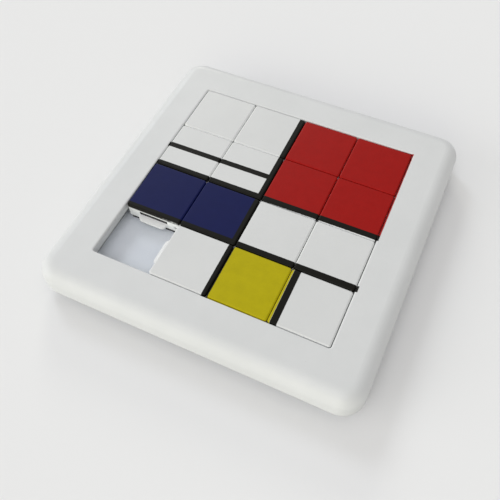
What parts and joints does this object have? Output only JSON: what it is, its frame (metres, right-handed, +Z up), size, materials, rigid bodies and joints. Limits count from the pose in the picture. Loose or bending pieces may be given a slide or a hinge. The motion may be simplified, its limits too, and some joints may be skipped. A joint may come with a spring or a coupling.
{
  "type": "sliding tile puzzle",
  "caption": "Square sliding tile puzzle: a rounded frame holds interlocked square tiles with one empty cell, so that a line of tiles slides into the gap.",
  "frame": {"origin": "centre of the footprint, on the surface that the feet stand on", "axes": "+X along the rows, +Y up the columns away from the player, +Z up out of the face"},
  "size_m": [0.08, 0.08, 0.0096],
  "materials": {
    "frame_plastic": "satin moulded",
    "cover_plastic": "matte moulded",
    "tile_white": "satin, printed",
    "tile_red": "satin, printed",
    "tile_blue": "satin, printed",
    "tile_yellow": "satin, printed",
    "base_plastic": "moulded",
    "screw_steel": "zinc plated",
    "foot_rubber": "matte"
  },
  "bodies": {
    "frame": {"front_frame": "frame_plastic", "back_cover": "cover_plastic", "cover_screws": "screw_steel", "rubber_foot_front_left": "foot_rubber", "rubber_foot_front_right": "foot_rubber", "rubber_foot_back_right": "foot_rubber", "rubber_foot_back_left": "foot_rubber", "tile_row1_col2": "tile_white", "tile_row1_col3": "tile_red", "tile_row1_col4": "tile_red", "tile_row2_col2": "tile_white", "tile_row2_col3": "tile_red", "tile_row2_col4": "tile_red", "tile_row3_col2": "tile_blue", "tile_row3_col3": "tile_white", "tile_row3_col4": "tile_white", "tile_row4_col2": "tile_white", "tile_row4_col3": "tile_yellow", "tile_row4_col4": "tile_white", "base_row1_col2": "base_plastic", "base_row1_col3": "base_plastic", "base_row1_col4": "base_plastic", "base_row2_col2": "base_plastic", "base_row2_col3": "base_plastic", "base_row2_col4": "base_plastic", "base_row3_col2": "base_plastic", "base_row3_col3": "base_plastic", "base_row3_col4": "base_plastic", "base_row4_col2": "base_plastic", "base_row4_col3": "base_plastic", "base_row4_col4": "base_plastic"},
    "moving_tile_row3_col1": {"tile_row3_col1": "tile_blue", "base_row3_col1": "base_plastic"},
    "moving_tile_row2_col1": {"tile_row2_col1": "tile_white", "base_row2_col1": "base_plastic"},
    "moving_tile_row1_col1": {"tile_row1_col1": "tile_white", "base_row1_col1": "base_plastic"}
  },
  "joints": [
    {"name": "tile_row3_col1_slide", "type": "slide", "parent": "frame", "child": "moving_tile_row3_col1", "axis": [0, -1, 0], "range_m": [0, 0.0147]},
    {"name": "tile_row2_col1_slide", "type": "slide", "parent": "frame", "child": "moving_tile_row2_col1", "axis": [0, -1, 0], "range_m": [0, 0.0147]},
    {"name": "tile_row1_col1_slide", "type": "slide", "parent": "frame", "child": "moving_tile_row1_col1", "axis": [0, -1, 0], "range_m": [0, 0.0147]}
  ],
  "couplings": [
    {"joint": "tile_row2_col1_slide", "follows": "tile_row3_col1_slide", "ratio": 1},
    {"joint": "tile_row1_col1_slide", "follows": "tile_row3_col1_slide", "ratio": 1}
  ]
}
